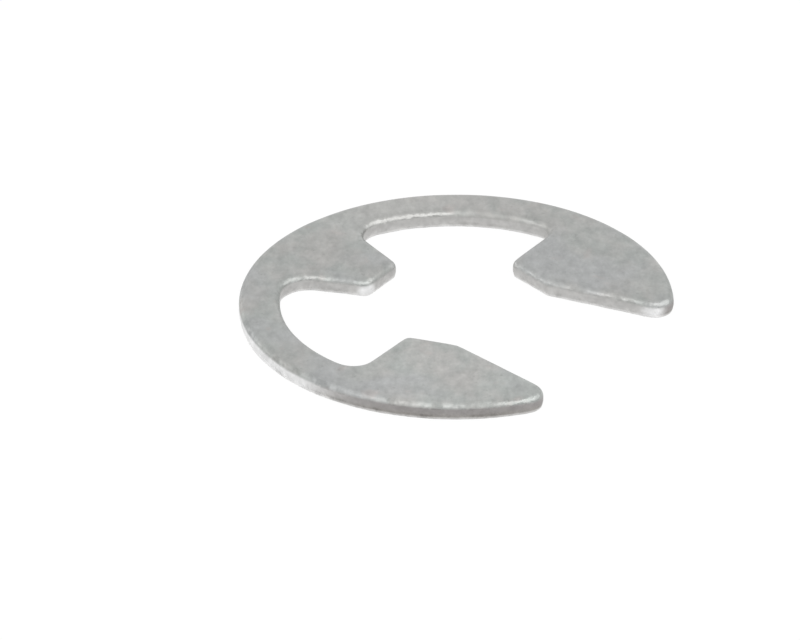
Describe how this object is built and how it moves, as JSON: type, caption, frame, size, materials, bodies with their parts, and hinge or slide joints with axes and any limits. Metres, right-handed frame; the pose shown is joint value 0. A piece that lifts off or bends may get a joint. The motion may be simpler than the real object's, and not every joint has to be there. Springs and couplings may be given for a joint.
{
  "type": "e clip",
  "caption": "Flat E-shaped spring-steel retaining ring with inward gripping lugs and an open mouth; snaps sideways into a shaft groove.",
  "frame": {"origin": "on the shaft axis, in the plane of the lower face (the burr side, which the clip lies on)", "axes": "+Z along the shaft axis and out of the die-roll face; -Y out of the mouth; X across the mouth, so X = 0 is the mirror plane"},
  "size_m": [0.0134, 0.0122, 0.0006],
  "materials": {
    "clip_steel": "satin bright-zinc plating over tumbled, blanked spring steel"
  },
  "bodies": {
    "root": {"e_clip": "clip_steel"}
  },
  "joints": []
}
